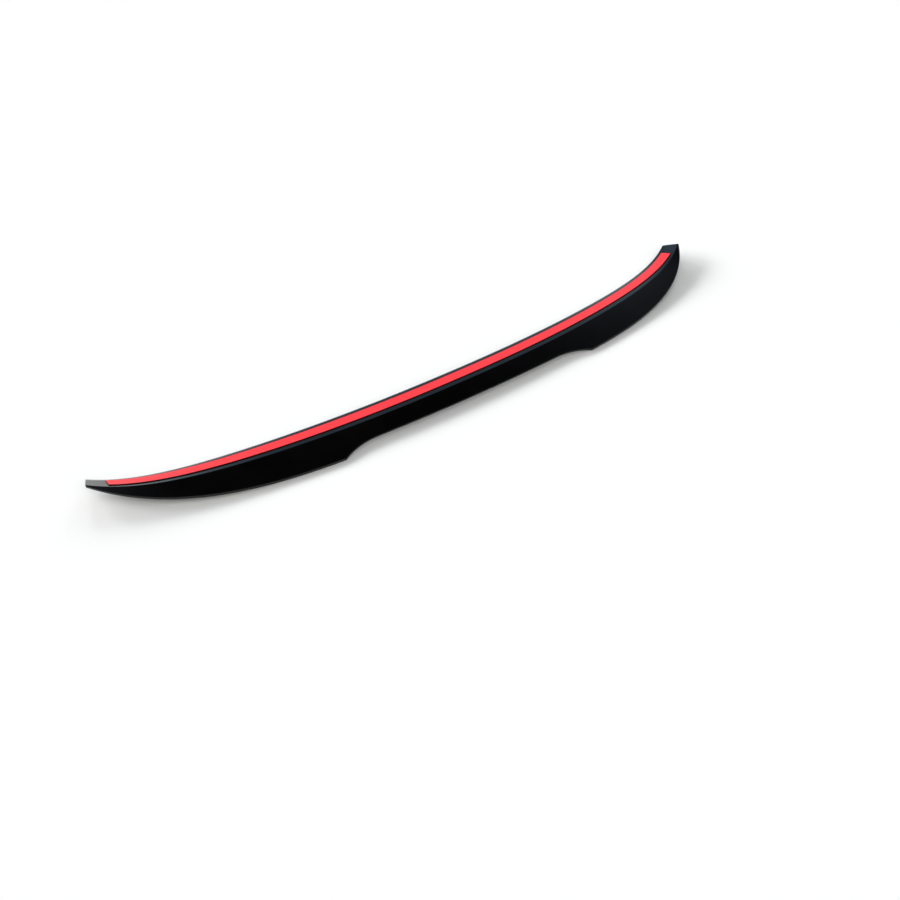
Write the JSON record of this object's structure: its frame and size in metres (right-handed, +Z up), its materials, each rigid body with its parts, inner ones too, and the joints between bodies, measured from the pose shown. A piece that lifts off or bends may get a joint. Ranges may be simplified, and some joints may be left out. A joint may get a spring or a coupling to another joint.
{
  "type": "rear lip spoiler",
  "caption": "Slim stick-on rear lip for a car's boot lid: a swept moulded blade with a recessed middle, with a strip of foam tape and its liner on the seat face.",
  "frame": {"origin": "on the floor, below the middle of the part's box, with the part lying upside down at rest", "axes": "+X along the length, +Y towards the front edge that the ends sweep to, +Z up, so the tape faces up and the lip faces -Y"},
  "size_m": [1.1998, 0.178, 0.0271],
  "materials": {
    "black_plastic": "gloss top, satin underside and seat",
    "tape_foam": "matte closed-cell foam",
    "liner_film": "satin film"
  },
  "bodies": {
    "root": {"lip_blade": "black_plastic", "foam_tape": "tape_foam", "release_liner": "liner_film"}
  },
  "joints": []
}
